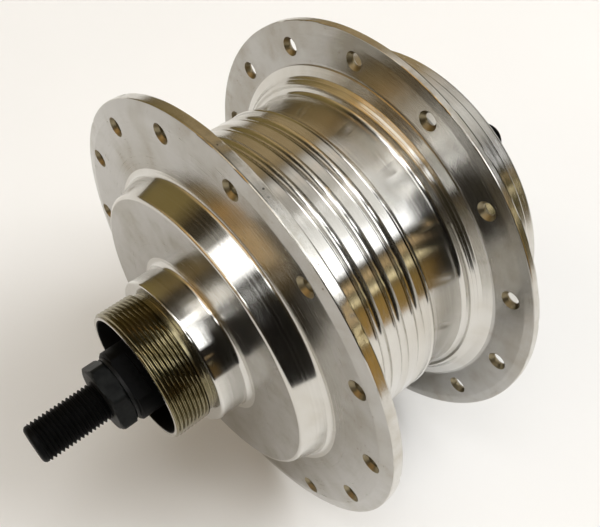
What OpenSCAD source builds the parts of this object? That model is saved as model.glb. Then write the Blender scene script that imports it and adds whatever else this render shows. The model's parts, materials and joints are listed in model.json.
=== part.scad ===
// Rear bicycle hub with a wide ribbed barrel and a threaded freewheel boss.
// The axle lies along Y and the drive side is at -Y. The origin is the middle of the axle.

/* [Axle] */
// Length of the axle
axle_l = 159; // [150:1:175]
// Crest diameter of the axle thread
axle_d = 10; // [9.5:0.5:10]
// Outer face of the drive side locknut, measured from the origin
drive_face = 62; // [60:0.5:64]
// Outer face of the non-drive side locknut, measured from the origin
non_drive_face = 64; // [62:0.5:68]
// Size across the flats of a locknut
nut_flats = 16; // [15:0.5:17]
// Thickness of a locknut
nut_t = 4.5; // [3.5:0.5:5]
// Diameter of the spacers outside the bearings
spacer_d = 18.6; // [17:0.2:19]

/* [Flanges] */
// Diameter of the drive flange
drive_flange_d = 118.4; // [114:0.2:124]
// Diameter of the non-drive flange
non_drive_flange_d = 118; // [114:0.2:124]
// Thickness of the drive flange at its spoke holes
drive_flange_t = 3.5; // [3:0.1:4]
// Thickness of the non-drive flange
non_drive_flange_t = 2.3; // [2.2:0.1:3]
// Distance from the origin to the drive flange's outer face
drive_flange = 27.1; // [26:0.1:28]
// Distance from the origin to the non-drive flange's outer face
non_drive_flange = 22.3; // [21:0.1:24]
// Spoke holes in each flange
spoke_holes = 14; // [14:2:18]
// Diameter of the drive flange's circle of spoke holes
drive_spoke_circle_d = 106.4; // [104:0.2:107]
// Diameter of the non-drive flange's circle of spoke holes
non_drive_spoke_circle_d = 105.2; // [104:0.2:107]
// Diameter of a spoke hole
spoke_hole_d = 3.2; // [2.6:0.1:3.4]
// Diameter of a spoke hole's countersink at the flange face
spoke_sink_d = 5; // [4:0.1:5.2]
// Angle of the first drive side spoke hole from the top
drive_spoke_turn = 10.8; // [0:0.1:25]
// Angle of the first non-drive side spoke hole from the top
non_drive_spoke_turn = 20.9; // [0:0.1:25]

/* [Barrel] */
// Diameter of the barrel between the flanges
barrel_d = 84.6; // [82:0.2:86]
// Diameter of the hollow inside the barrel
barrel_bore_d = 77.6; // [75:0.2:78]
// Round grooves in the drive half of the barrel
groove_count = 3; // [1:1:3]
// Distance from one groove to the next
groove_pitch = 5.55; // [5:0.05:6]
// Width of a groove
groove_w = 2.6; // [2:0.1:3]
// Depth of a groove and of the wide recess
groove_depth = 0.8; // [0.5:0.1:1]
// Middle of the first groove
first_groove = -10.4; // [-12:0.1:-10]

/* [Drive side] */
// Diameter of the raised step at its front edge
step_d = 77.4; // [74:0.2:78]
// Height of the step above the drive flange
step_h = 6.9; // [6:0.1:8]
// Diameter of the plain collar behind the freewheel thread
collar_d = 39.8; // [39:0.2:42]
// Distance from the origin to the front of the collar
collar_front = 42.1; // [41.8:0.1:42.5]
// Crest diameter of the freewheel thread
boss_d = 34.8; // [34.8:0.1:35]
// Distance from the origin to the front of the threaded boss
boss_front = 52.8; // [52:0.1:54]
// Diameter of the boss's mouth
boss_mouth_d = 31.6; // [31:0.1:32]

/* [End cover] */
// Diameter of the drum beside the non-drive flange, at the cover joint
drum_d = 90; // [89.4:0.2:92]
// Distance from the origin to the joint between shell and cover
cover_joint = 37.8; // [37:0.1:38]
// Diameter of the cover
cover_d = 88.6; // [88:0.2:89]
// Thickness of the cover's plate
cover_t = 3.4; // [3:0.1:4]
// Screws that hold the cover
screw_count = 8; // [6:1:10]
// Diameter of the circle of cover screws
screw_circle_d = 81.4; // [81:0.2:82]

/* [Hidden] */

$fn = 96;

// Deep groove ball bearing, 10 x 30 x 9
bearing_bore_r = axle_d / 2;
bearing_r = 15;
bearing_w = 9;
ball_r = 2.381;
ball_count = 8;
ball_circle_r = 10;
track_gap = 0.04;
inner_race_r = 8.6;
outer_race_r = 11.4;
seal_r = 12;
seal_lip_r = 8.9;
seal_t = 0.6;
seal_inset = 0.2;
cage_in_r = 9.1;
cage_out_r = 10.9;
cage_w = 5.6;
cage_gap = 0.1;
edge = 0.5;

fit_gap = 0.03;
axle_fit_gap = 0.02;
slip_gap = 0.05;
axle_root_r = axle_d / 2 - 0.325;
axle_mid_r = bearing_bore_r - axle_fit_gap;
axle_chamfer = 0.9;

// Bearing faces along the axle
drive_bearing_out = -42.5;
drive_bearing_in = drive_bearing_out + bearing_w;
non_drive_bearing_out = 42;
non_drive_bearing_in = non_drive_bearing_out - bearing_w;
seat_r = bearing_r + fit_gap;
shoulder_r = 12.6;
ring_t = 1;
ring_slot = 1.1;
ring_in_r = 13.5;
ring_slot_r = 15.75;
ring_out_r = ring_slot_r - fit_gap;
ring_opening = 34;

washer_t = 0.8;
washer_r = 8.2;
flats_w = 15;
flats_l = 4;
flats_turn = 27;
nut_turn = 46;
spacer_neck_r = 7.6;
spacer_neck_l = 1.6;
sleeve_r = 7.5;

drive_flange_r = drive_flange_d / 2;
non_drive_flange_r = non_drive_flange_d / 2;
barrel_r = barrel_d / 2;
barrel_bore_r = barrel_bore_d / 2;
spoke_sink_l = (spoke_sink_d - spoke_hole_d) / 2;
hole_step = 360 / spoke_holes;
drive_flange_in = -drive_flange + drive_flange_t;
non_drive_flange_in = non_drive_flange - non_drive_flange_t;
rim_taper = 0.7;
rim_taper_w = 3.4;
rim_edge = 0.3;

step_front = -drive_flange - step_h;
step_wall = 3.8;
thread_relief_l = 1.6;
thread_relief_r = boss_d / 2 - 0.9;
thread_chamfer = 0.6;

recess_start = first_groove + groove_count * groove_pitch - groove_w / 2;
recess_end = 15.2;
shoulder_crest_r = barrel_r + 1.3;
shoulder_crest = 16.8;
shoulder_band_r = barrel_r + 3;
shoulder_band = 18.6;

cover_r = cover_d / 2;
cover_face = cover_joint + cover_t;
cover_dish = 1.2;
cover_dish_in_r = 22;
cover_dish_out_r = 35.5;
spigot_r = barrel_bore_r - slip_gap;
spigot_wall = 4.5;
spigot_l = 4;
cover_boss_r = 19.5;
cover_boss_face = 43.9;
cover_shoulder = non_drive_bearing_in - 2;
ring_section_r = 0.8;
ring_groove_w = 2;
ring_groove_depth = 1.7;
ring_groove_y = cover_joint - 1 - ring_groove_w / 2;

screw_r = 1.5;
screw_head_r = 2.9;
screw_head_l = 1.5;
screw_l = 10;
screw_socket = 2;
screw_socket_depth = 0.9;
screw_hole_r = 1.7;
screw_circle_r = screw_circle_d / 2;

// Points on an arc of a lathe profile: centre, radius, angles and number of steps
function arc(r0, y0, r, a0, a1, steps) =
    [for (i = [0:steps]) let (a = a0 + (a1 - a0) * i / steps) [r0 + r * cos(a), y0 + r * sin(a)]];

// One round groove of a given depth, cut from the barrel's surface
function groove(mid) =
    let (half = groove_w / 2,
         r = (half * half + groove_depth * groove_depth) / (2 * groove_depth),
         a = asin(half / r))
    arc(barrel_r - groove_depth + r, mid, r, 180 + a, 180 - a, 8);

// Turns a profile of [radius, height] points into a solid of revolution along Y
module lathe(points) {
    rotate([-90, 0, 0])
        rotate_extrude()
            polygon(points);
}

// A plain ring along Y from one place to another
module ring(from, to, outer_r, inner_r) {
    lathe([[inner_r, from], [outer_r, from], [outer_r, to], [inner_r, to]]);
}

// A cylinder along Y
module rod(from, to, r) {
    translate([0, from, 0])
        rotate([-90, 0, 0])
            cylinder(r = r, h = to - from);
}

// A cone along Y
module cone(from, to, from_r, to_r) {
    translate([0, from, 0])
        rotate([-90, 0, 0])
            cylinder(r1 = from_r, r2 = to_r, h = to - from);
}

// Places its children at an angle from the top around the axle, at a radius
module around(angle, radius) {
    rotate([0, angle, 0])
        translate([0, 0, radius])
            children();
}

// Countersunk spoke holes through one flange
module spoke_hole_set(from, to, circle_r, turn) {
    for (i = [0:spoke_holes - 1])
        around(turn + i * hole_step, circle_r) {
            rod(from - 1, to + 1, spoke_hole_d / 2);
            cone(from - 0.01, from + spoke_sink_l, spoke_sink_d / 2, spoke_hole_d / 2);
            cone(to - spoke_sink_l, to + 0.01, spoke_hole_d / 2, spoke_sink_d / 2);
        }
}

function boss_outline() = [
    [boss_mouth_d / 2 + 0.2, -boss_front],
    [boss_d / 2 - thread_chamfer, -boss_front],
    [boss_d / 2, -boss_front + thread_chamfer],
    [boss_d / 2, -collar_front - thread_relief_l],
    [thread_relief_r, -collar_front - thread_relief_l + 0.3],
    [thread_relief_r, -collar_front],
    [collar_d / 2 - 0.4, -collar_front],
    [collar_d / 2, -collar_front + 0.4]
];

function step_outline() = concat(
    arc(collar_d / 2 + 1.9, step_front - 1.9, 1.8, 180, 90, 5),
    arc(step_d / 2 - 1.2, step_front + 1.2, 1.2, -90, -15, 4),
    arc(step_d / 2 + 3.4, -drive_flange - 1.8, 1.8, 165, 90, 5)
);

function drive_flange_outline() = concat(
    [[drive_flange_r - rim_taper_w, -drive_flange],
     [drive_flange_r - rim_edge, -drive_flange + rim_taper],
     [drive_flange_r, -drive_flange + rim_taper + rim_edge],
     [drive_flange_r, drive_flange_in - rim_edge],
     [drive_flange_r - rim_edge, drive_flange_in]],
    arc(barrel_r + 3, drive_flange_in + 3, 3, -90, -180, 6)
);

function barrel_outline() = concat(
    [for (i = [0:groove_count - 1]) each groove(first_groove + i * groove_pitch)],
    arc(barrel_r + 0.4, recess_start + 1.2, 1.2, 251, 180, 4),
    arc(barrel_r + 1.2, recess_end, 2, 180, 130, 4),
    [[shoulder_crest_r, shoulder_crest], [shoulder_band_r, shoulder_band]]
);

function drum_outline() = concat(
    arc(shoulder_band_r + 3.3, non_drive_flange_in - 1.2, 1.2, 135, 90, 3),
    [[non_drive_flange_r - rim_edge, non_drive_flange_in],
     [non_drive_flange_r, non_drive_flange_in + rim_edge],
     [non_drive_flange_r, non_drive_flange - rim_edge],
     [non_drive_flange_r - rim_edge, non_drive_flange]],
    arc(drum_d / 2 + 2, non_drive_flange + 1.4, 1.4, 270, 180, 4),
    [[drum_d / 2, cover_joint - 0.3], [drum_d / 2 - 0.3, cover_joint]]
);

function shell_inside() = [
    [barrel_bore_r + 0.3, cover_joint],
    [barrel_bore_r, cover_joint - 0.3],
    [barrel_bore_r, step_front + step_wall + 3],
    [barrel_bore_r - 5, step_front + step_wall],
    [shoulder_r + 6, step_front + step_wall],
    [shoulder_r + 5, drive_bearing_in + 2],
    [shoulder_r, drive_bearing_in + 2],
    [shoulder_r, drive_bearing_in],
    [seat_r, drive_bearing_in],
    [seat_r, drive_bearing_out],
    [ring_slot_r, drive_bearing_out],
    [ring_slot_r, drive_bearing_out - ring_slot],
    [seat_r, drive_bearing_out - ring_slot],
    [seat_r, drive_bearing_out - ring_slot - 1.2],
    [boss_mouth_d / 2, drive_bearing_out - ring_slot - 1.6],
    [boss_mouth_d / 2, -boss_front + 0.2]
];

module hub_shell() {
    color("#cfcabd")
        difference() {
            lathe(concat(boss_outline(), step_outline(), drive_flange_outline(), barrel_outline(),
                         drum_outline(), shell_inside()));
            spoke_hole_set(-drive_flange, drive_flange_in, drive_spoke_circle_d / 2,
                           drive_spoke_turn);
            spoke_hole_set(non_drive_flange_in, non_drive_flange, non_drive_spoke_circle_d / 2,
                           non_drive_spoke_turn);
            for (i = [0:screw_count - 1])
                around(i * 360 / screw_count, screw_circle_r)
                    rod(cover_face - screw_l - 2, cover_joint + 1, screw_r + fit_gap);
        }
}

function cover_outline() = [
    [seat_r + 0.3, cover_boss_face],
    [seat_r, cover_boss_face - 0.3],
    [seat_r, non_drive_bearing_out + ring_slot],
    [ring_slot_r, non_drive_bearing_out + ring_slot],
    [ring_slot_r, non_drive_bearing_out],
    [seat_r, non_drive_bearing_out],
    [seat_r, non_drive_bearing_in],
    [shoulder_r, non_drive_bearing_in],
    [shoulder_r, cover_shoulder],
    [cover_boss_r, cover_shoulder],
    [cover_boss_r + 0.6, cover_joint - 1.4],
    [cover_boss_r + 2, cover_joint],
    [spigot_r - spigot_wall, cover_joint],
    [spigot_r - spigot_wall, cover_joint - spigot_l],
    [spigot_r - 0.3, cover_joint - spigot_l],
    [spigot_r, cover_joint - spigot_l + 0.3],
    [spigot_r, ring_groove_y - ring_groove_w / 2],
    [spigot_r - ring_groove_depth, ring_groove_y - ring_groove_w / 2],
    [spigot_r - ring_groove_depth, ring_groove_y + ring_groove_w / 2],
    [spigot_r, ring_groove_y + ring_groove_w / 2],
    [spigot_r, cover_joint],
    [cover_r, cover_joint],
    [cover_r, cover_face - 1],
    [cover_r - 0.3, cover_face - 0.3],
    [cover_r - 1, cover_face],
    [cover_dish_out_r + 1.2, cover_face],
    [cover_dish_out_r, cover_face - cover_dish],
    [cover_dish_in_r, cover_face - cover_dish],
    [cover_boss_r + 0.6, cover_face + 0.6],
    [cover_boss_r, cover_boss_face - 0.8],
    [cover_boss_r - 0.8, cover_boss_face]
];

module end_cover() {
    color("#c8c3b6")
        difference() {
            lathe(cover_outline());
            for (i = [0:screw_count - 1])
                around(i * 360 / screw_count, screw_circle_r) {
                    rod(cover_joint - 1, cover_face + 1, screw_hole_r);
                    cone(cover_face - screw_head_l - 0.1, cover_face + 0.01, screw_hole_r,
                         screw_head_r + 0.15);
                }
        }
}

// One countersunk hexagon socket screw
module cover_screw() {
    difference() {
        union() {
            rod(cover_face - screw_l, cover_face - screw_head_l, screw_r);
            cone(cover_face - screw_head_l, cover_face - 0.2, screw_r, screw_head_r - 0.1);
            rod(cover_face - 0.2, cover_face - 0.1, screw_head_r - 0.1);
        }
        translate([0, cover_face - screw_socket_depth, 0])
            rotate([-90, 0, 0])
                cylinder(d = screw_socket / cos(30), h = 2, $fn = 6);
    }
}

module cover_screws() {
    color("#6f6f70")
        for (i = [0:screw_count - 1])
            around(i * 360 / screw_count, screw_circle_r)
                cover_screw();
}

module cover_o_ring() {
    color("#26221f")
        rotate([-90, 0, 0])
            rotate_extrude()
                translate([spigot_r - ring_section_r - fit_gap, ring_groove_y])
                    circle(r = ring_section_r, $fn = 32);
}

module axle() {
    color("#1d1d1f")
        lathe([[0, -axle_l / 2], [axle_d / 2 - axle_chamfer, -axle_l / 2],
               [axle_d / 2, -axle_l / 2 + axle_chamfer], [axle_d / 2, -drive_face],
               [axle_root_r, -drive_face], [axle_root_r, -drive_face + nut_t],
               [axle_mid_r, -drive_face + nut_t], [axle_mid_r, non_drive_face - nut_t],
               [axle_root_r, non_drive_face - nut_t], [axle_root_r, non_drive_face],
               [axle_d / 2, non_drive_face], [axle_d / 2, axle_l / 2 - axle_chamfer],
               [axle_d / 2 - axle_chamfer, axle_l / 2], [0, axle_l / 2]]);
}

// A hexagon locknut with both faces chamfered at the corners
module locknut(from) {
    corner_r = nut_flats / 2 / cos(30);
    round_r = nut_flats / 2 - 0.2;
    slope = 0.5;
    drop = (corner_r - round_r) * slope;
    difference() {
        intersection() {
            translate([0, from, 0])
                rotate([0, nut_turn, 0])
                    rotate([-90, 90, 0])
                        cylinder(r = corner_r, h = nut_t, $fn = 6);
            lathe([[0, from], [round_r, from], [corner_r, from + drop],
                   [corner_r, from + nut_t - drop], [round_r, from + nut_t], [0, from + nut_t]]);
        }
        rod(from - 1, from + nut_t + 1, axle_root_r + fit_gap);
    }
}

module drive_locknut() {
    color("#343537")
        locknut(-drive_face);
}

module non_drive_locknut() {
    color("#343537")
        locknut(non_drive_face - nut_t);
}

module drive_lock_washer() {
    color("#4a4b4d")
        ring(-drive_face + nut_t, -drive_face + nut_t + washer_t, washer_r, axle_mid_r + slip_gap);
}

module non_drive_lock_washer() {
    color("#4a4b4d")
        ring(non_drive_face - nut_t - washer_t, non_drive_face - nut_t, washer_r,
             axle_mid_r + slip_gap);
}

// A spacer with a narrow neck on the bearing and two spanner flats at its outer end.
// side is -1 on the drive side and 1 on the other.
module spacer(bearing_face, outer_face, side) {
    r = spacer_d / 2;
    difference() {
        rotate([side < 0 ? 90 : -90, 0, 0])
            rotate_extrude()
                polygon([[axle_mid_r + slip_gap, bearing_face], [spacer_neck_r, bearing_face],
                         [spacer_neck_r, bearing_face + spacer_neck_l],
                         [r - 0.4, bearing_face + spacer_neck_l],
                         [r, bearing_face + spacer_neck_l + 0.4], [r, outer_face - 0.4],
                         [r - 0.4, outer_face], [axle_mid_r + slip_gap, outer_face]]);
        for (turn = [0, 180])
            rotate([0, flats_turn + turn, 0])
                translate([-r, side < 0 ? -outer_face - 1 : outer_face - flats_l, flats_w / 2])
                    cube([2 * r, flats_l + 1, r]);
    }
}

module drive_spacer() {
    color("#202022")
        spacer(-drive_bearing_out, drive_face - nut_t - washer_t, -1);
}

module non_drive_spacer() {
    color("#202022")
        spacer(non_drive_bearing_out, non_drive_face - nut_t - washer_t, 1);
}

module centre_sleeve() {
    color("#8b8d90")
        ring(drive_bearing_in, non_drive_bearing_in, sleeve_r, axle_mid_r + slip_gap);
}

// A circlip for a bearing seat, with its opening and two holed lugs at the top
module retaining_ring(from) {
    difference() {
        union() {
            ring(from, from + ring_t, ring_out_r, ring_in_r);
            for (turn = [-ring_opening / 2, ring_opening / 2])
                around(turn, ring_in_r - 0.2)
                    rod(from, from + ring_t, 1.5);
        }
        translate([0, from - 1, 0])
            rotate([-90, 0, 0])
                linear_extrude(height = ring_t + 2)
                    polygon([[0, 0], [-20 * tan(ring_opening / 2 - 5), -20],
                             [20 * tan(ring_opening / 2 - 5), -20]]);
        for (turn = [-ring_opening / 2, ring_opening / 2])
            around(turn, ring_in_r - 0.2)
                rod(from - 1, from + ring_t + 1, 0.6);
    }
}

module drive_retaining_ring() {
    color("#55575a")
        retaining_ring(drive_bearing_out - ring_slot + (ring_slot - ring_t) / 2);
}

module non_drive_retaining_ring() {
    color("#55575a")
        retaining_ring(non_drive_bearing_out + (ring_slot - ring_t) / 2);
}

// The ball track, a torus that is cut from both races
module track(mid) {
    translate([0, mid, 0])
        rotate([-90, 0, 0])
            rotate_extrude()
                translate([ball_circle_r, 0])
                    circle(r = ball_r + track_gap, $fn = 48);
}

module inner_race(mid) {
    half = bearing_w / 2;
    difference() {
        lathe([[bearing_bore_r, mid - half + edge], [bearing_bore_r + edge, mid - half],
               [inner_race_r, mid - half], [inner_race_r, mid + half],
               [bearing_bore_r + edge, mid + half], [bearing_bore_r, mid + half - edge]]);
        track(mid);
    }
}

module outer_race(mid) {
    half = bearing_w / 2;
    seat = half - seal_inset - seal_t;
    difference() {
        lathe([[seal_r + fit_gap, mid - half], [bearing_r - edge, mid - half],
               [bearing_r, mid - half + edge], [bearing_r, mid + half - edge],
               [bearing_r - edge, mid + half], [seal_r + fit_gap, mid + half],
               [seal_r + fit_gap, mid + seat], [outer_race_r, mid + seat],
               [outer_race_r, mid - seat], [seal_r + fit_gap, mid - seat]]);
        track(mid);
    }
}

module balls(mid) {
    for (i = [0:ball_count - 1])
        around(i * 360 / ball_count, ball_circle_r)
            translate([0, mid, 0])
                sphere(r = ball_r, $fn = 48);
}

module cage(mid) {
    difference() {
        ring(mid - cage_w / 2, mid + cage_w / 2, cage_out_r, cage_in_r);
        for (i = [0:ball_count - 1])
            around(i * 360 / ball_count, ball_circle_r)
                translate([0, mid, 0])
                    sphere(r = ball_r + cage_gap, $fn = 48);
    }
}

// One rubber seal. side is -1 towards -Y and 1 towards +Y.
module seal(mid, side) {
    near = mid + side * (bearing_w / 2 - seal_inset - seal_t);
    far = mid + side * (bearing_w / 2 - seal_inset);
    ring(min(near, far), max(near, far), seal_r, seal_lip_r);
}

drive_mid = drive_bearing_out + bearing_w / 2;
non_drive_mid = non_drive_bearing_out - bearing_w / 2;

module drive_inner_race() {
    color("#b9bbbe")
        inner_race(drive_mid);
}

module drive_outer_race() {
    color("#b9bbbe")
        outer_race(drive_mid);
}

module drive_balls() {
    color("#d9dbde")
        balls(drive_mid);
}

module drive_cage() {
    color("#a58a4e")
        cage(drive_mid);
}

module drive_outer_seal() {
    color("#1b1b1c")
        seal(drive_mid, -1);
}

module drive_inner_seal() {
    color("#1b1b1c")
        seal(drive_mid, 1);
}

module non_drive_inner_race() {
    color("#b9bbbe")
        inner_race(non_drive_mid);
}

module non_drive_outer_race() {
    color("#b9bbbe")
        outer_race(non_drive_mid);
}

module non_drive_balls() {
    color("#d9dbde")
        balls(non_drive_mid);
}

module non_drive_cage() {
    color("#a58a4e")
        cage(non_drive_mid);
}

module non_drive_outer_seal() {
    color("#1b1b1c")
        seal(non_drive_mid, 1);
}

module non_drive_inner_seal() {
    color("#1b1b1c")
        seal(non_drive_mid, -1);
}

hub_shell();
end_cover();
cover_screws();
cover_o_ring();
axle();
drive_locknut();
drive_lock_washer();
drive_spacer();
centre_sleeve();
non_drive_spacer();
non_drive_lock_washer();
non_drive_locknut();
drive_retaining_ring();
drive_inner_race();
drive_outer_race();
drive_balls();
drive_cage();
drive_outer_seal();
drive_inner_seal();
non_drive_retaining_ring();
non_drive_inner_race();
non_drive_outer_race();
non_drive_balls();
non_drive_cage();
non_drive_outer_seal();
non_drive_inner_seal();
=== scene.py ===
import json
import math

import bmesh
import bpy
import numpy as np
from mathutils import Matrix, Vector


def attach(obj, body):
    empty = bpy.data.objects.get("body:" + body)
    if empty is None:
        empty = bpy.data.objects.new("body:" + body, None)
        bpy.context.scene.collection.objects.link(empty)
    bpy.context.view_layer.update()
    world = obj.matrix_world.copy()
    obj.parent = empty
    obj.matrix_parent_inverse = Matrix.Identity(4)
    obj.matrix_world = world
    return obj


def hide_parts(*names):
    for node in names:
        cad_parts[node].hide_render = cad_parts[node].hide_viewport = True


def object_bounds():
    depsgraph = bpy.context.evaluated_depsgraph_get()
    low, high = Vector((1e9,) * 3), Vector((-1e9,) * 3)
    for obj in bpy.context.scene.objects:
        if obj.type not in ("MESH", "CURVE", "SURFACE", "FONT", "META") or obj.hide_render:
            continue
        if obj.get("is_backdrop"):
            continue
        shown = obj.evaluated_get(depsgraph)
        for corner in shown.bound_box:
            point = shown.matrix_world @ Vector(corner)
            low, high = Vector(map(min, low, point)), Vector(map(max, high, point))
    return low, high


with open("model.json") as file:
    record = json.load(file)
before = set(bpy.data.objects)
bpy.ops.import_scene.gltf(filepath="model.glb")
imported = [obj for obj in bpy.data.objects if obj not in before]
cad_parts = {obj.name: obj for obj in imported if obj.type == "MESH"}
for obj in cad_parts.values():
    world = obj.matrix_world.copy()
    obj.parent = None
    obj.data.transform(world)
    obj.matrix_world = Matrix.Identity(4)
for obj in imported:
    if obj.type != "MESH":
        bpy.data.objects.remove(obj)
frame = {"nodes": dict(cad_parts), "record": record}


def as_list(value):
    """Vectors and arrays as plain lists of numbers."""
    if hasattr(value, "__len__"):
        return [as_list(v) for v in value]
    return float(value)


size_before = as_list(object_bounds())
MM = 0.001
FLOOR_Z = -0.0592

# ---------------------------------------------------------------- materials


def node(tree, kind, inputs=None, **props):
    n = tree.nodes.new(kind)
    for key, value in props.items():
        setattr(n, key, value)
    for key, value in (inputs or {}).items():
        if isinstance(value, bpy.types.NodeSocket):
            tree.links.new(value, n.inputs[key])
        else:
            n.inputs[key].default_value = value
    return n


def math_node(tree, op, a, b=0.0, c=0.0, clamp=False):
    n = node(tree, "ShaderNodeMath", {0: a, 1: b, 2: c}, operation=op)
    n.use_clamp = clamp
    return n.outputs[0]


def ramp(tree, value, low, high, to_low=0.0, to_high=1.0):
    n = node(
        tree,
        "ShaderNodeMapRange",
        {
            "Value": value,
            "From Min": low,
            "From Max": high,
            "To Min": to_low,
            "To Max": to_high,
        },
    )
    return n.outputs["Result"]


def noise(tree, coord, scale, detail=2.0, rough=0.5, dims="3D"):
    n = node(tree, "ShaderNodeTexNoise", noise_dimensions=dims)
    if dims == "1D":
        tree.links.new(coord, n.inputs["W"])
    else:
        tree.links.new(coord, n.inputs["Vector"])
    n.inputs["Scale"].default_value = scale
    n.inputs["Detail"].default_value = detail
    n.inputs["Roughness"].default_value = rough
    return n.outputs["Fac"]


def mix(tree, factor, a, b):
    n = node(tree, "ShaderNodeMix", data_type="RGBA")
    for sock, value in ((0, factor), (6, a), (7, b)):
        if isinstance(value, bpy.types.NodeSocket):
            tree.links.new(value, n.inputs[sock])
        else:
            n.inputs[sock].default_value = value
    return n.outputs[2]


def rgb(color):
    return (color[0], color[1], color[2], 1.0)


class Shader:
    """A material with the coordinates that turned parts need: place, radius, place along the axis and
    distance along the lathe cut.
    """

    def __init__(self, name):
        self.material = bpy.data.materials.new(name)
        self.material.use_nodes = True
        self.tree = t = self.material.node_tree
        t.nodes.clear()
        self.out = node(t, "ShaderNodeOutputMaterial")
        self.bsdf = node(t, "ShaderNodeBsdfPrincipled")
        t.links.new(self.bsdf.outputs[0], self.out.inputs[0])
        self.place = node(t, "ShaderNodeTexCoord").outputs["Object"]
        parts = node(t, "ShaderNodeSeparateXYZ", {0: self.place})
        flat = node(t, "ShaderNodeCombineXYZ", {0: parts.outputs[0], 2: parts.outputs[2]})
        self.radius = node(
            t, "ShaderNodeVectorMath", {0: flat.outputs[0]}, operation="LENGTH"
        ).outputs["Value"]
        self.along = parts.outputs[1]
        self.cut = math_node(t, "ADD", self.radius, self.along)

    def link(self, value, name):
        if isinstance(value, bpy.types.NodeSocket):
            self.tree.links.new(value, self.bsdf.inputs[name])
        else:
            self.bsdf.inputs[name].default_value = value

    def bump(self, height, strength, distance, after=None):
        inputs = {"Height": height, "Strength": strength, "Distance": distance}
        if after is not None:
            inputs["Normal"] = after
        return node(self.tree, "ShaderNodeBump", inputs).outputs[0]


def turned_metal(
    name,
    color,
    tarnish_and_shade,
    rough,
    rough_spread=0.05,
    lines=0.3,
    line_scale=2600.0,
    cloud=0.25,
    cloud_scale=60.0,
    spots=0.0,
    spot_color=(0.12, 0.07, 0.03),
    grain=0.0,
    stretch=0.0,
):
    s = Shader(name)
    t = s.tree
    fine = noise(t, s.cut, line_scale, 3.0, 0.6, "1D")
    clouds = noise(t, s.place, cloud_scale, 4.0, 0.6)
    patch = noise(t, s.place, cloud_scale * 4.1, 3.0, 0.55)
    amount = math_node(t, "MULTIPLY", ramp(t, clouds, 0.42, 0.68), cloud)
    amount = math_node(
        t, "ADD", amount, math_node(t, "MULTIPLY", ramp(t, patch, 0.55, 0.75), cloud * 0.4), clamp=True
    )
    # The second colour is real tarnish on the polished, satin, rim and cover materials, and painted shade on
    # the thread, countersink and inside materials.
    body = mix(t, amount, rgb(color), rgb(tarnish_and_shade))
    if spots > 0:
        speck = node(t, "ShaderNodeTexVoronoi", {"Vector": s.place, "Scale": 620.0})
        near = ramp(t, speck.outputs["Distance"], 0.10, 0.20, 1.0, 0.0)
        some = ramp(t, noise(t, s.place, 210.0, 2.0), 0.60, 0.66)
        mask = math_node(t, "MULTIPLY", math_node(t, "MULTIPLY", near, some), spots, clamp=True)
        body = mix(t, mask, body, rgb(spot_color))
    s.link(body, "Base Color")
    s.link(1.0, "Metallic")
    if stretch > 0:
        s.link(stretch, "Anisotropic")
        s.link(0.25, "Anisotropic Rotation")
        around = node(t, "ShaderNodeTangent", direction_type="RADIAL", axis="Y")
        t.links.new(around.outputs[0], s.bsdf.inputs["Tangent"])
    low, high = rough - rough_spread, rough + rough_spread
    wear = math_node(t, "ADD", math_node(t, "MULTIPLY", fine, 0.6), math_node(t, "MULTIPLY", patch, 0.4))
    s.link(ramp(t, wear, 0.3, 0.7, low, high), "Roughness")
    normal = s.bump(fine, lines, 0.00002)
    if grain > 0:
        normal = s.bump(noise(t, s.place, 1900.0, 4.0, 0.7), grain, 0.00006, normal)
    s.tree.links.new(normal, s.bsdf.inputs["Normal"])
    return s.material


def plain(name, color, second, rough, metallic=0.0, scale=400.0, bump=0.1, rough_spread=0.06, shine=0.5):
    s = Shader(name)
    s.link(shine, "Specular IOR Level")
    t = s.tree
    mottle = noise(t, s.place, scale, 4.0, 0.6)
    s.link(mix(t, ramp(t, mottle, 0.35, 0.65), rgb(color), rgb(second)), "Base Color")
    s.link(metallic, "Metallic")
    s.link(ramp(t, mottle, 0.3, 0.7, rough - rough_spread, rough + rough_spread), "Roughness")
    s.tree.links.new(s.bump(mottle, bump, 0.00005), s.bsdf.inputs["Normal"])
    return s.material


POLISHED = turned_metal(
    "polished_aluminium", (0.68, 0.67, 0.64), (0.50, 0.46, 0.38), 0.17, 0.045, 0.10, 1500, 0.35, 45,
    stretch=0.95,
)
SATIN = turned_metal(
    "satin_aluminium", (0.46, 0.45, 0.43), (0.33, 0.305, 0.255), 0.23, 0.06, 0.12, 1500, 0.8, 60,
    spots=0.7, grain=0.12,
)
RIM = turned_metal(
    "rim_aluminium", (0.64, 0.63, 0.60), (0.42, 0.38, 0.30), 0.20, 0.05, 0.2, 1500, 0.5, 160,
    spots=0.9, spot_color=(0.05, 0.04, 0.03), grain=0.1, stretch=0.6,
)
# Painted shade and reflection: the thread's dark olive colours stand in for the shade between its turns and
# the warm light they reflect.
THREAD = turned_metal(
    "thread_painted_shade", (0.27, 0.24, 0.15), (0.15, 0.125, 0.06), 0.22, 0.05, 0.1, 2600, 0.7, 110
)
# Painted shade and reflection: the spoke hole walls get dark bronze colours that stand in for the shade in
# the holes and the warm light reflected in them.
SHADE_PAINTED_SINK = turned_metal(
    "countersink_painted_shade", (0.30, 0.26, 0.17), (0.18, 0.14, 0.08), 0.38, 0.05, 0.1, 2600, 0.6, 260
)
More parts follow.
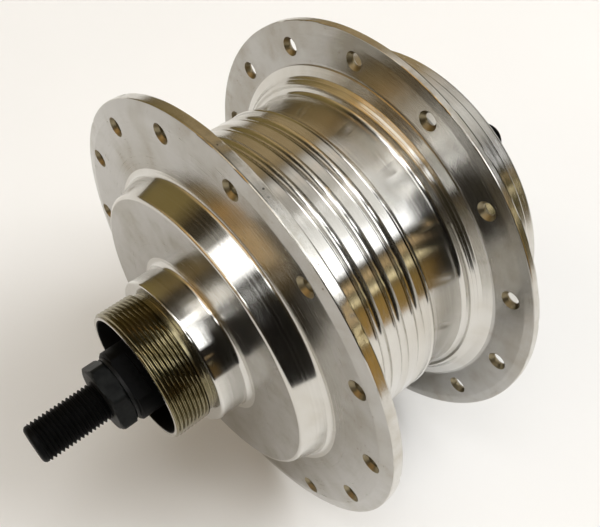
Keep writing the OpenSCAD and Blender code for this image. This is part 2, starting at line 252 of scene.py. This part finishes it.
# Painted shade: the inner surface is near-black to stand in for the shade inside the shell; the aluminium
# there is not dark.
SHADE_PAINTED_INSIDE = turned_metal(
    "inside_painted_shade", (0.020, 0.018, 0.016), (0.012, 0.011, 0.010), 0.50, 0.06, 0.2, 900, 0.6, 90
)
COVER = turned_metal(
    "cover_aluminium", (0.66, 0.65, 0.62), (0.50, 0.47, 0.41), 0.24, 0.05, 0.2, 1500, 0.4, 60,
    spots=0.3, grain=0.1, stretch=0.7,
)
BLACK = plain(
    "black_oxide", (0.0025, 0.0025, 0.0025), (0.005, 0.005, 0.005), 0.48, 0.0, 700, 0.25, shine=0.05
)
NUT = plain("dark_nut", (0.003, 0.0035, 0.0035), (0.012, 0.013, 0.0125), 0.46, 0.0, 500, 0.3, shine=0.10)
WASHER = plain("black_washer", (0.008, 0.008, 0.008), (0.018, 0.018, 0.018), 0.42, 0.0, 300, 0.2, shine=0.15)
SCREW = plain("zinc_screw", (0.36, 0.36, 0.37), (0.46, 0.46, 0.47), 0.32, 1.0, 500, 0.2)
SLEEVE = plain("turned_steel", (0.40, 0.40, 0.41), (0.48, 0.48, 0.48), 0.34, 1.0, 300, 0.2)
SPRING = plain("spring_steel", (0.10, 0.10, 0.105), (0.16, 0.16, 0.16), 0.36, 1.0, 500, 0.2)
RACE = plain("bearing_steel", (0.52, 0.52, 0.53), (0.60, 0.60, 0.61), 0.16, 1.0, 250, 0.05, 0.03)
BALL = plain("ball_steel", (0.70, 0.70, 0.71), (0.76, 0.76, 0.77), 0.06, 1.0, 250, 0.02, 0.02)
RUBBER = plain("black_rubber", (0.014, 0.014, 0.014), (0.022, 0.021, 0.020), 0.60, 0.0, 900, 0.2)
NYLON = plain("nylon", (0.62, 0.54, 0.38), (0.68, 0.60, 0.44), 0.45, 0.0, 350, 0.1)

SLOTS = {
    "shell_aluminium": POLISHED,
    "cover_aluminium": COVER,
    "screw_steel": SCREW,
    "seal_rubber": RUBBER,
    "black_steel": BLACK,
    "nut_steel": NUT,
    "washer_steel": WASHER,
    "sleeve_steel": SLEEVE,
    "spring_steel": SPRING,
    "bearing_steel": RACE,
    "ball_steel": BALL,
    "cage_nylon": NYLON,
}
for part in frame["record"]["subparts"]:
    mesh = frame["nodes"][part["node"]].data
    mesh.materials.clear()
    mesh.materials.append(SLOTS[part["material_slot"]])

# ---------------------------------------------------------------- turned shapes


def arc(r0, y0, r, a0, a1, steps):
    """Points [radius, y] on an arc of a lathe profile."""
    out = []
    for i in range(steps + 1):
        a = math.radians(a0 + (a1 - a0) * i / steps)
        out.append((r0 + r * math.cos(a), y0 + r * math.sin(a)))
    return out


def hold(rows, longest=0.6, edge=0.07):
    """Adds a row close to both ends of each long straight run, so that it stays flat when shaded smooth."""
    out = []
    for i, (r, y, zone) in enumerate(rows):
        out.append((r, y, zone))
        if i + 1 < len(rows):
            r1, y1 = rows[i + 1][0], rows[i + 1][1]
            run = math.hypot(r1 - r, y1 - y)
            if run > longest and r > 0 and r1 > 0:
                for t in (edge / run, 1 - edge / run):
                    out.append((r + (r1 - r) * t, y + (y1 - y) * t, zone))
    return out


def lathe(name, rows, seg, mats, shape=None, closed=True, turn=0.0, sharp=28):
    """Turns rows of (radius, y, material number) in mm into a mesh around the Y axis.

    shape(r, y, angle) may change a radius."""
    rows = hold(rows)
    r = np.array([p[0] for p in rows], float)[:, None]
    y = np.array([p[1] for p in rows], float)[:, None]
    angle = turn + np.linspace(0, 2 * math.pi, seg, endpoint=False)[None, :]
    rr = np.broadcast_to(r, (len(rows), seg)).copy()
    if shape is not None:
        rr = shape(rr, np.broadcast_to(y, rr.shape), np.broadcast_to(angle, rr.shape))
    co = np.stack([rr * np.sin(angle), np.broadcast_to(y, rr.shape), rr * np.cos(angle)], -1)
    verts, row_index = [], []
    for i in range(len(rows)):
        if rows[i][0] <= 0:
            row_index.append([len(verts)])
            verts.append((0.0, rows[i][1] * MM, 0.0))
        else:
            row_index.append(range(len(verts), len(verts) + seg))
            verts.extend((co[i] * MM).tolist())
    faces, zones = [], []
    last = len(rows) if closed else len(rows) - 1
    for i in range(last):
        a, b = row_index[i], row_index[(i + 1) % len(rows)]
        for j in range(seg):
            k = (j + 1) % seg
            if len(a) == 1:
                faces.append((a[0], b[k], b[j]))
            elif len(b) == 1:
                faces.append((a[j], a[k], b[0]))
            else:
                faces.append((a[j], a[k], b[k], b[j]))
            zones.append(rows[i][2])
    mesh = bpy.data.meshes.new(name)
    mesh.from_pydata(verts, [], faces)
    for m in mats:
        mesh.materials.append(m)
    mesh.polygons.foreach_set("material_index", zones)
    bm = bmesh.new()
    bm.from_mesh(mesh)
    bmesh.ops.recalc_face_normals(bm, faces=bm.faces)
    bm.to_mesh(mesh)
    bm.free()
    obj = bpy.data.objects.new(name, mesh)
    bpy.context.collection.objects.link(obj)
    smooth(obj, sharp)
    return obj


def smooth(obj, sharp):
    mesh = obj.data
    mesh.shade_smooth()
    mesh.set_sharp_from_angle(angle=math.radians(sharp))


def stand_for(obj, body, slot, *nodes):
    if nodes:
        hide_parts(*nodes)
    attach(obj, body)
    return obj


def thread(y, angle, pitch, crest, root, flat=0.14):
    """Radius of a right-hand thread."""
    t = np.mod(y / pitch - angle / (2 * math.pi), 1.0)
    tri = np.abs(2 * t - 1)
    return root + (crest - root) * np.clip((tri - flat) / (1 - 2 * flat), 0, 1)


def cut_holes(obj, cutter):
    mod = obj.modifiers.new("holes", "BOOLEAN")
    mod.operation = "DIFFERENCE"
    mod.object = cutter
    mod.solver = "EXACT"
    depsgraph = bpy.context.evaluated_depsgraph_get()
    done = bpy.data.meshes.new_from_object(obj.evaluated_get(depsgraph))
    obj.modifiers.clear()
    old = obj.data
    obj.data = done
    bpy.data.meshes.remove(old)
    bpy.data.objects.remove(cutter, do_unlink=True)


def hole_cutter(name, places, sections, seg, mats, zone):
    """One mesh of turned plugs at places (x, z) in mm. sections are (y, radius) from end to end."""
    verts, faces = [], []
    for x, z in places:
        base = len(verts)
        for y, r in sections:
            for j in range(seg):
                a = 2 * math.pi * j / seg
                verts.append(((x + r * math.sin(a)) * MM, y * MM, (z + r * math.cos(a)) * MM))
        n = len(sections)
        for i in range(n - 1):
            for j in range(seg):
                k = (j + 1) % seg
                here, there = base + i * seg, base + (i + 1) * seg
                faces.append((here + j, here + k, there + k, there + j))
        faces.append([base + j for j in range(seg)])
        faces.append([base + (n - 1) * seg + j for j in reversed(range(seg))])
    mesh = bpy.data.meshes.new(name)
    mesh.from_pydata(verts, [], faces)
    for m in mats:
        mesh.materials.append(m)
    mesh.polygons.foreach_set("material_index", [zone] * len(mesh.polygons))
    bm = bmesh.new()
    bm.from_mesh(mesh)
    bmesh.ops.recalc_face_normals(bm, faces=bm.faces)
    bm.to_mesh(mesh)
    bm.free()
    obj = bpy.data.objects.new(name, mesh)
    bpy.context.collection.objects.link(obj)
    return obj


def circle_places(count, circle_r, turn):
    out = []
    for i in range(count):
        a = math.radians(turn + 360 * i / count)
        out.append((circle_r * math.sin(a), circle_r * math.cos(a)))
    return out


# ---------------------------------------------------------------- the shell

SHELL_MATS = [POLISHED, SATIN, RIM, THREAD, SHADE_PAINTED_INSIDE, SHADE_PAINTED_SINK]
POL, SAT, RIMZ, THR, INS, SNK = range(6)
BARREL_R = 42.3
THREAD_R = 17.4
THREAD_ROOT_R = 16.72
THREAD_PITCH = 1.058
THREAD_FROM, THREAD_TO = -52.8, -43.7
RIM_FROM_R = 58.5
DRIVE_FLANGE = (-27.1, -23.6)
NON_DRIVE_FLANGE = (20.0, 22.3)
SPOKE_HOLES = 14


def shell_rows():
    rows = []

    def add(zone, points):
        rows.extend((r, y, zone) for r, y in points)

    # boss: front ring, thread, undercut
    add(POL, [(16.0, THREAD_FROM)])
    # the thread rows use the thread material, whose dark colour is painted shade
    add(THR, [(16.75, THREAD_FROM)])
    steps = 136
    first = THREAD_FROM + 0.05
    add(THR, [(THREAD_R, first + (THREAD_TO - THREAD_FROM - 0.05) * i / steps) for i in range(steps + 1)])
    add(THR, [(16.5, THREAD_TO + 0.15), (16.5, -42.3)])
    # collar
    add(POL, [(16.62, -42.1), (19.5, -42.1), (19.75, -42.0), (19.88, -41.75), (19.9, -41.4), (19.95, -37.0)])
    add(POL, arc(21.15, -35.2, 1.2, 180, 92, 8))
    # step: face, edge, wall, root
    add(SAT, [(22.0, -34.0), (24.0, -34.0), (37.7, -34.0)])
    add(POL, arc(37.75, -33.05, 0.95, -90, -15, 5))
    add(POL, arc(41.5, -28.3, 1.2, 165, 97, 7))
    # drive flange: outer face, rim, inner face
    add(SAT, [(42.2, -27.1), (55.6, -27.1), (56.0, -27.07), (58.85, -26.44)])
    add(RIMZ, [(59.05, -26.34), (59.18, -26.15), (59.2, -25.9), (59.2, -24.0), (59.15, -23.75)])
    add(POL, [(58.95, -23.6)])
    add(POL, arc(45.3, -20.6, 3.0, -90, -180, 10))
    # barrel with three grooves, each with a low burr at its drive side edge
    add(POL, [(BARREL_R, -17.0), (BARREL_R, -14.0)])
    for k in range(3):
        mid = -10.4 + 5.55 * k
        edge = mid - 1.3
        add(POL, [(BARREL_R, edge - 0.50), (BARREL_R + 0.05, edge - 0.38), (BARREL_R + 0.10, edge - 0.26),
                  (BARREL_R + 0.10, edge - 0.15), (BARREL_R + 0.04, edge - 0.04)])
        half, depth = 1.3, 0.8
        rad = (half * half + depth * depth) / (2 * depth)
        span = math.degrees(math.asin(half / rad))
        add(POL, arc(BARREL_R - depth + rad, mid, rad, 180 + span, 180 - span, 10))
    # wide recess, shoulder, band
    add(POL, [(BARREL_R, 4.2), (BARREL_R + 0.10, 4.40), (BARREL_R + 0.20, 4.57), (BARREL_R + 0.20, 4.75),
              (BARREL_R + 0.05, 4.93)])
    add(POL, arc(BARREL_R + 0.4, 6.15, 1.2, 251, 180, 6))
    add(POL, [(41.5, 9.0), (41.5, 12.0)])
    add(POL, arc(43.5, 15.2, 2.0, 180, 132, 7))
    add(POL, [(42.9, 16.95), (43.6, 16.8), (44.0, 17.0), (44.22, 17.28), (44.12, 17.34), (44.3, 17.46),
              (44.75, 17.98), (44.65, 18.04), (44.85, 18.16), (45.3, 18.6)])
    add(POL, [(45.5, 18.72), (46.4, 19.1)])
    add(SAT, arc(48.6, 18.8, 1.2, 135, 90, 5))
    # non-drive flange
    add(SAT, [(53.0, 20.0), (56.4, 20.0), (58.62, 20.26)])
    add(RIMZ, [(58.86, 20.34), (58.97, 20.46), (59.0, 20.65), (59.0, 21.9), (58.95, 22.15)])
    add(SAT, [(58.75, 22.3)])
    add(POL, arc(47.0, 23.7, 1.4, 270, 180, 6))
    add(POL, [(45.2, 27.0), (45.0, 37.45), (44.9, 37.7)])
    # the inner surface uses the inside material, which is painted near-black for shade
    add(INS, [(44.65, 37.8), (39.1, 37.8), (38.8, 37.5), (38.8, -27.2), (33.8, -30.2), (18.6, -30.2),
              (17.6, -31.5), (12.6, -31.5), (12.6, -33.5), (15.03, -33.5), (15.03, -42.5),
              (15.75, -42.5), (15.75, -43.6), (15.03, -43.6), (15.03, -44.8), (15.8, -45.2), (15.8, -52.6)])
    return rows


def shell_shape(r, y, angle):
    """Cuts the freewheel thread and puts small nicks in the rims."""
    on = (np.abs(r - THREAD_R) < 0.1) & (y > THREAD_FROM) & (y <= THREAD_TO + 1e-6)
    cut = thread(y, angle, THREAD_PITCH, THREAD_R, THREAD_ROOT_R)
    lead = 16.75 + (y - THREAD_FROM) * 1.3
    r = np.where(on, np.minimum(cut, lead), r)
    rng = np.random.default_rng(7)
    for y0, y1 in ((-26.5, -26.2), (-24.1, -23.5), (20.0, 20.35), (22.0, 22.3)):
        for _ in range(26):
            at, width, deep = rng.uniform(0, 2 * math.pi), rng.uniform(0.012, 0.03), rng.uniform(0.05, 0.22)
            away = np.abs(np.mod(angle - at + math.pi, 2 * math.pi) - math.pi)
            dent = deep * np.clip(1 - away / width, 0, 1)
            r = np.where((r > RIM_FROM_R) & (y > y0) & (y < y1), r - dent, r)
    return r


shell = lathe("shell", shell_rows(), 384, SHELL_MATS, shell_shape)
for (y0, y1), circle_r, turn in ((DRIVE_FLANGE, 53.2, 10.8), (NON_DRIVE_FLANGE, 52.6, 20.9)):
    # the hole walls use the countersink material, whose dark bronze is painted shade and reflection
    cutter = hole_cutter(
        "spoke_holes",
        circle_places(SPOKE_HOLES, circle_r, turn),
        [(y0 - 0.5, 3.0), (y0, 2.5), (y0 + 0.9, 1.6), (y1 - 0.9, 1.6), (y1, 2.5), (y1 + 0.5, 3.0)],
        40, SHELL_MATS, SNK,
    )
    cut_holes(shell, cutter)
smooth(shell, 28)
stand_for(shell, "wheel_shell", "shell_aluminium", "hub_shell")

# ---------------------------------------------------------------- the end cover


def cover_rows():
    pts = [
        # bearing seat and its circlip groove
        (15.33, 43.9), (15.03, 43.6), (15.03, 43.1), (15.75, 43.1), (15.75, 42.0), (15.03, 42.0),
        (15.03, 33.0), (12.6, 33.0), (12.6, 31.0),
        # inner face, spigot and its ring groove
        (19.5, 31.0), (20.1, 36.4), (21.5, 37.8), (34.25, 37.8), (34.25, 33.8), (38.45, 33.8), (38.75, 34.1),
        (38.75, 34.8), (37.05, 34.8), (37.05, 36.8), (38.75, 36.8), (38.75, 37.8),
        # rim, outer face and boss
        (44.0, 37.8), (44.2, 37.85), (44.3, 38.0), (44.3, 40.2), (44.25, 40.6), (44.0, 40.95), (43.6, 41.15),
        (43.2, 41.2), (36.7, 41.2), (36.5, 41.15), (35.5, 40.05), (35.3, 40.0), (22.2, 40.0), (21.9, 40.1),
        (20.1, 41.8), (19.6, 42.6), (19.5, 43.1), (19.4, 43.45), (19.15, 43.75), (18.7, 43.9),
    ]
    return [(r, y, 0) for r, y in pts]


cover = lathe("cover", cover_rows(), 256, [COVER])
cutter = hole_cutter(
    "screw_holes",
    circle_places(8, 40.7, 0),
    [(37.0, 1.7), (39.6, 1.7), (41.2, 3.05), (41.6, 3.4)],
    36, [COVER], 0,
)
cut_holes(cover, cutter)
smooth(cover, 28)
stand_for(cover, "wheel_shell", "cover_aluminium", "end_cover")

# ---------------------------------------------------------------- the axle and its nuts


def axle_rows():
    rows = [(0, -79.5, 0), (3.9, -79.5, 0), (4.35, -79.3, 0), (4.72, -78.9, 0), (4.75, -78.2, 0)]
    n = 260
    rows += [(5.0, -78.1 + 16.1 * i / n, 0) for i in range(n + 1)]
    rows += [(4.675, -62.0, 0), (4.675, -57.5, 0), (4.98, -57.5, 0)]
    rows += [(4.98, 59.5, 0), (4.675, 59.5, 0), (4.675, 64.0, 0)]
    n = 226
    rows += [(5.0, 64.0 + 14.1 * i / n, 0) for i in range(n + 1)]
    rows += [(4.75, 78.2, 0), (4.72, 78.9, 0), (4.35, 79.3, 0), (3.9, 79.5, 0), (0, 79.5, 0)]
    return rows


def axle_shape(r, y, angle):
    cut = thread(y, angle, 1.0, 5.0, 4.4, 0.12)
    return np.where((r > 4.99) & (np.abs(y) > 61.9), cut, r)


axle = lathe("axle_rod", axle_rows(), 96, [BLACK], axle_shape, closed=False, sharp=50)
stand_for(axle, "axle_set", "black_steel", "axle")


NUT_T = 4.5
NUT_FLAT_R = 8.0
NUT_CORNER_R = 8.98
NUT_TURN = math.radians(46.0)


def locknut(name, low, node_name):
    high = low + NUT_T
    pts = [
        (4.72, low + 0.35), (5.1, low), (7.7, low), (8.0, low + 0.08), (8.5, low + 0.34), (8.95, low + 0.62),
        (9.3, low + 0.9), (9.3, high - 0.9), (8.95, high - 0.62), (8.5, high - 0.34), (8.0, high - 0.08),
        (7.7, high), (5.1, high), (4.72, high - 0.35),
    ]

    def shape(r, y, angle):
        side = np.mod(angle - NUT_TURN + math.pi / 6, math.pi / 3) - math.pi / 6
        flat = NUT_FLAT_R / np.cos(math.pi / 6 - np.abs(side))
        return np.minimum(r, np.minimum(flat, NUT_CORNER_R))

    nut = lathe(name, [(r, y, 0) for r, y in pts], 144, [NUT], shape, turn=NUT_TURN, sharp=24)
    return stand_for(nut, "axle_set", "nut_steel", node_name)


locknut("drive_nut", -62.0, "drive_locknut")
locknut("non_drive_nut", 59.5, "non_drive_locknut")

# ---------------------------------------------------------------- studio


def direction(az, el):
    """az is measured from -Y towards +X, in degrees."""
    a, e = math.radians(az), math.radians(el)
    return Vector((math.sin(a) * math.cos(e), -math.cos(a) * math.cos(e), math.sin(e)))


LIGHT_DISTANCE = 2.0


def softbox(name, az, el, wide, high, radiance):
    """A panel that spans wide by high degrees as seen from the hub. Mirrors don't show it: cards do that."""
    light = bpy.data.lights.new(name, "AREA")
    light.shape = "RECTANGLE"
    light.size = 2 * LIGHT_DISTANCE * math.tan(math.radians(wide) / 2)
    light.size_y = 2 * LIGHT_DISTANCE * math.tan(math.radians(high) / 2)
    light.energy = radiance * light.size * light.size_y * math.pi
    obj = bpy.data.objects.new(name, light)
    bpy.context.collection.objects.link(obj)
    at = direction(az, el)
    obj.location = at * LIGHT_DISTANCE
    obj.rotation_euler = (-at).to_track_quat("-Z", "Y").to_euler()
    obj.visible_camera = False
    obj.visible_glossy = False


softbox("window", 147, 45, 36, 30, 5.0)
softbox("fill", 0, 88, 80, 80, 0.10)

world = bpy.data.worlds.new("studio")
bpy.context.scene.world = world
world.use_nodes = True
wt = world.node_tree
wt.nodes.clear()
ray = node(wt, "ShaderNodeSeparateXYZ", {0: node(wt, "ShaderNodeTexCoord").outputs["Generated"]})
ray_az = math_node(wt, "ARCTAN2", ray.outputs[0], math_node(wt, "MULTIPLY", ray.outputs[1], -1.0))
ray_az = math_node(wt, "MULTIPLY", ray_az, 180 / math.pi)
ray_el = math_node(wt, "MULTIPLY", math_node(wt, "ARCSINE", ray.outputs[2]), 180 / math.pi)


def card(total, az, low, top, color, soft):
    """Adds a soft edged panel of the room to the world's light, in degrees."""
    middle, half = (az[0] + az[1]) / 2, (az[1] - az[0]) / 2
    off = math_node(wt, "WRAP", math_node(wt, "SUBTRACT", ray_az, middle), 180.0, -180.0)
    amount = ramp(wt, math_node(wt, "ABSOLUTE", off), half - soft, half + soft, 1.0, 0.0)
    over = ramp(wt, ray_el, low - soft, low + soft)
    under = ramp(wt, ray_el, top - soft, top + soft, 1.0, 0.0)
    amount = math_node(wt, "MULTIPLY", math_node(wt, "MULTIPLY", over, under), amount)
    return mix(wt, amount, total, rgb(color))


# (from, to) round the hub, low edge, top edge, color, softness. A later card covers an earlier one.
CARDS = [
    # the room behind the far left
    ((-155, -112), 2, 50, (0.40, 0.30, 0.165), 7),
    ((-112, -66), 0, 46, (0.22, 0.165, 0.060), 8),
    ((-66, -38), 5, 45, (0.50, 0.36, 0.17), 7),
    # the dark side, and the warm wall seen low in it
    ((55, 108), -60, 50, (0.008, 0.007, 0.006), 5),
    ((106, 123), -12, 11, (0.50, 0.30, 0.08), 4),
    ((122, 140), -60, 28, (0.09, 0.075, 0.03), 4),
    # warm lamps at the front
    ((-40, 22), 16, 38, (0.34, 0.22, 0.065), 5),
    ((-42, 2), 20, 34, (1.0, 0.58, 0.19), 4),
    ((-20, 10), 28.5, 31.5, (3.2, 2.2, 1.0), 1),
    # the pale wall behind the hub
    ((138, 222), 40, 64, (0.80, 0.76, 0.69), 3),
    ((-160, -150), 47, 54, (1.0, 0.85, 0.70), 3),
    ((134, 178), 44, 62, (0.92, 0.90, 0.85), 3),
    # the small window at the front and its glow
    ((-46, -30), 40, 50, (1.4, 1.2, 0.9), 3),
    ((-34, 12), 46, 55, (2.1, 1.95, 1.7), 3),
    ((12, 30), 49.5, 56, (7.5, 7.6, 7.7), 1),
    ((30, 43), 42, 50, (7.5, 7.6, 7.7), 1),
    # the ceiling
    ((-52, 40), 61, 71, (0.85, 0.82, 0.75), 3),
    ((-40, 160), 71, 86, (4.2, 4.15, 4.1), 3),
    # the main window
    ((104, 119), 38, 70, (4.0, 4.0, 4.0), 2),
    ((118, 136), 50, 70, (1.8, 1.8, 1.75), 2),
    ((118, 134), 32, 50, (3.6, 3.6, 3.6), 2),
    # narrow gleams on the dark side
    ((108, 134), 13.2, 16.0, (1.9, 1.6, 0.95), 0.8),
    ((106, 134), 22.0, 25.0, (1.2, 0.85, 0.45), 1.2),
]
room = (0.030, 0.024, 0.014, 1.0)
for spec in CARDS:
    room = card(room, *spec)
sky = node(wt, "ShaderNodeBackground", {"Color": room, "Strength": 1.0})
wt.links.new(sky.outputs[0], node(wt, "ShaderNodeOutputWorld").inputs[0])

floor_mesh = bpy.data.meshes.new("floor")
FLOOR_REACH = 3.0
FLOOR_EDGE = 0.42
corners = [
    (-FLOOR_REACH, -FLOOR_REACH),
    (FLOOR_EDGE, -FLOOR_REACH),
    (FLOOR_EDGE, FLOOR_REACH),
    (-FLOOR_REACH, FLOOR_REACH),
]
floor_mesh.from_pydata([(x, y, FLOOR_Z) for x, y in corners], [], [(0, 1, 2, 3)])
floor = bpy.data.objects.new("floor", floor_mesh)
bpy.context.collection.objects.link(floor)
fs = Shader("pale_floor")
paper = noise(fs.tree, fs.place, 8.0, 3.0)
fs.link(mix(fs.tree, paper, (0.86, 0.86, 0.855, 1), (0.90, 0.90, 0.895, 1)), "Base Color")
fs.link(0.75, "Roughness")
floor_mesh.materials.append(fs.material)
floor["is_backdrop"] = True

CAMERA_AT = (0.09601, -0.08547, 0.15215)
CAMERA_AZ = 48.434
CAMERA_DOWN = 49.705
cam_data = bpy.data.cameras.new("camera")
cam_data.sensor_width = 36
cam_data.lens = 44.62
cam_data.clip_start = 0.01
cam = bpy.data.objects.new("camera", cam_data)
bpy.context.collection.objects.link(cam)
cam.location = CAMERA_AT
cam.rotation_euler = (math.radians(90 - CAMERA_DOWN), 0, math.radians(CAMERA_AZ))
bpy.context.scene.camera = cam
bpy.context.scene.view_settings.view_transform = "Standard"

{"before": size_before, "after": as_list(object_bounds())}
